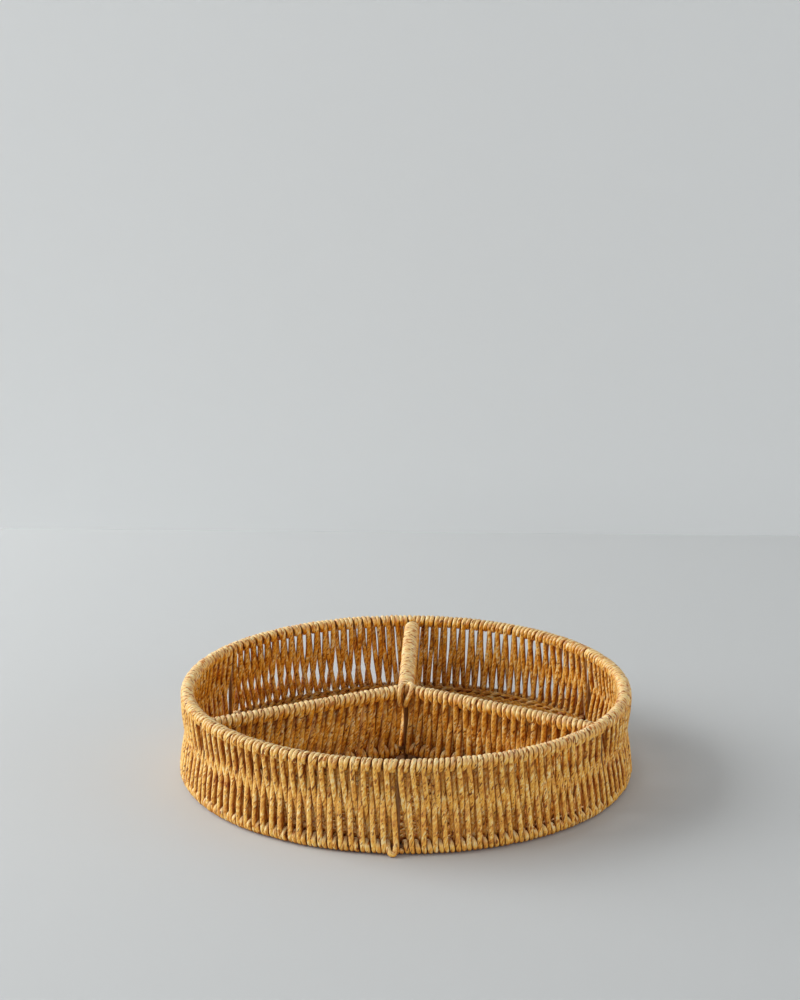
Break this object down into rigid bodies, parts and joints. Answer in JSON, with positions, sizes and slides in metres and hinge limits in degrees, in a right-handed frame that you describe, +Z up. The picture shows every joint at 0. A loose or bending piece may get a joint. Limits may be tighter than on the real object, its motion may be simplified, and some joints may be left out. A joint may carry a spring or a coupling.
{
  "type": "divided serving basket",
  "caption": "Low round basket of rope wound in a figure eight on a wire frame, with radial dividers that split it into equal open compartments for serving snacks.",
  "frame": {"origin": "middle of the basket's base, in the plane it stands on", "axes": "+Z up, -Y towards the compartment at the front of the picture, +X to the right of the picture"},
  "size_m": [0.302, 0.302, 0.061],
  "materials": {
    "frame_wire": "brown satin paint",
    "wall_rope": "matt twisted straw-coloured cord",
    "divider_rope": "matt twisted straw-coloured cord",
    "floor_rope": "matt twisted straw-coloured cord"
  },
  "bodies": {
    "root": {"rim_wire": "frame_wire", "base_wire": "frame_wire", "hub_plate": "frame_wire", "hub_post": "frame_wire", "post_rear_right": "frame_wire", "post_rear": "frame_wire", "post_rear_left": "frame_wire", "post_front_left": "frame_wire", "post_front": "frame_wire", "post_front_right": "frame_wire", "floor_spoke_rear_right": "frame_wire", "floor_spoke_rear": "frame_wire", "floor_spoke_rear_left": "frame_wire", "floor_spoke_front_left": "frame_wire", "floor_spoke_front": "frame_wire", "floor_spoke_front_right": "frame_wire", "divider_top_wire_rear": "frame_wire", "divider_top_wire_front_left": "frame_wire", "divider_top_wire_front_right": "frame_wire", "divider_base_wire_rear": "frame_wire", "divider_base_wire_front_left": "frame_wire", "divider_base_wire_front_right": "frame_wire", "wall_weave_rear_right_1": "wall_rope", "wall_weave_rear_right_2": "wall_rope", "wall_weave_rear_right_3": "wall_rope", "wall_weave_rear_left_1": "wall_rope", "wall_weave_rear_left_2": "wall_rope", "wall_weave_rear_left_3": "wall_rope", "wall_weave_left_1": "wall_rope", "wall_weave_left_2": "wall_rope", "wall_weave_left_3": "wall_rope", "wall_weave_front_left_1": "wall_rope", "wall_weave_front_left_2": "wall_rope", "wall_weave_front_left_3": "wall_rope", "wall_weave_front_right_1": "wall_rope", "wall_weave_front_right_2": "wall_rope", "wall_weave_front_right_3": "wall_rope", "wall_weave_right_1": "wall_rope", "wall_weave_right_2": "wall_rope", "wall_weave_right_3": "wall_rope", "divider_weave_rear": "divider_rope", "divider_weave_front_left": "divider_rope", "divider_weave_front_right": "divider_rope", "floor_weave": "floor_rope"}
  },
  "joints": []
}
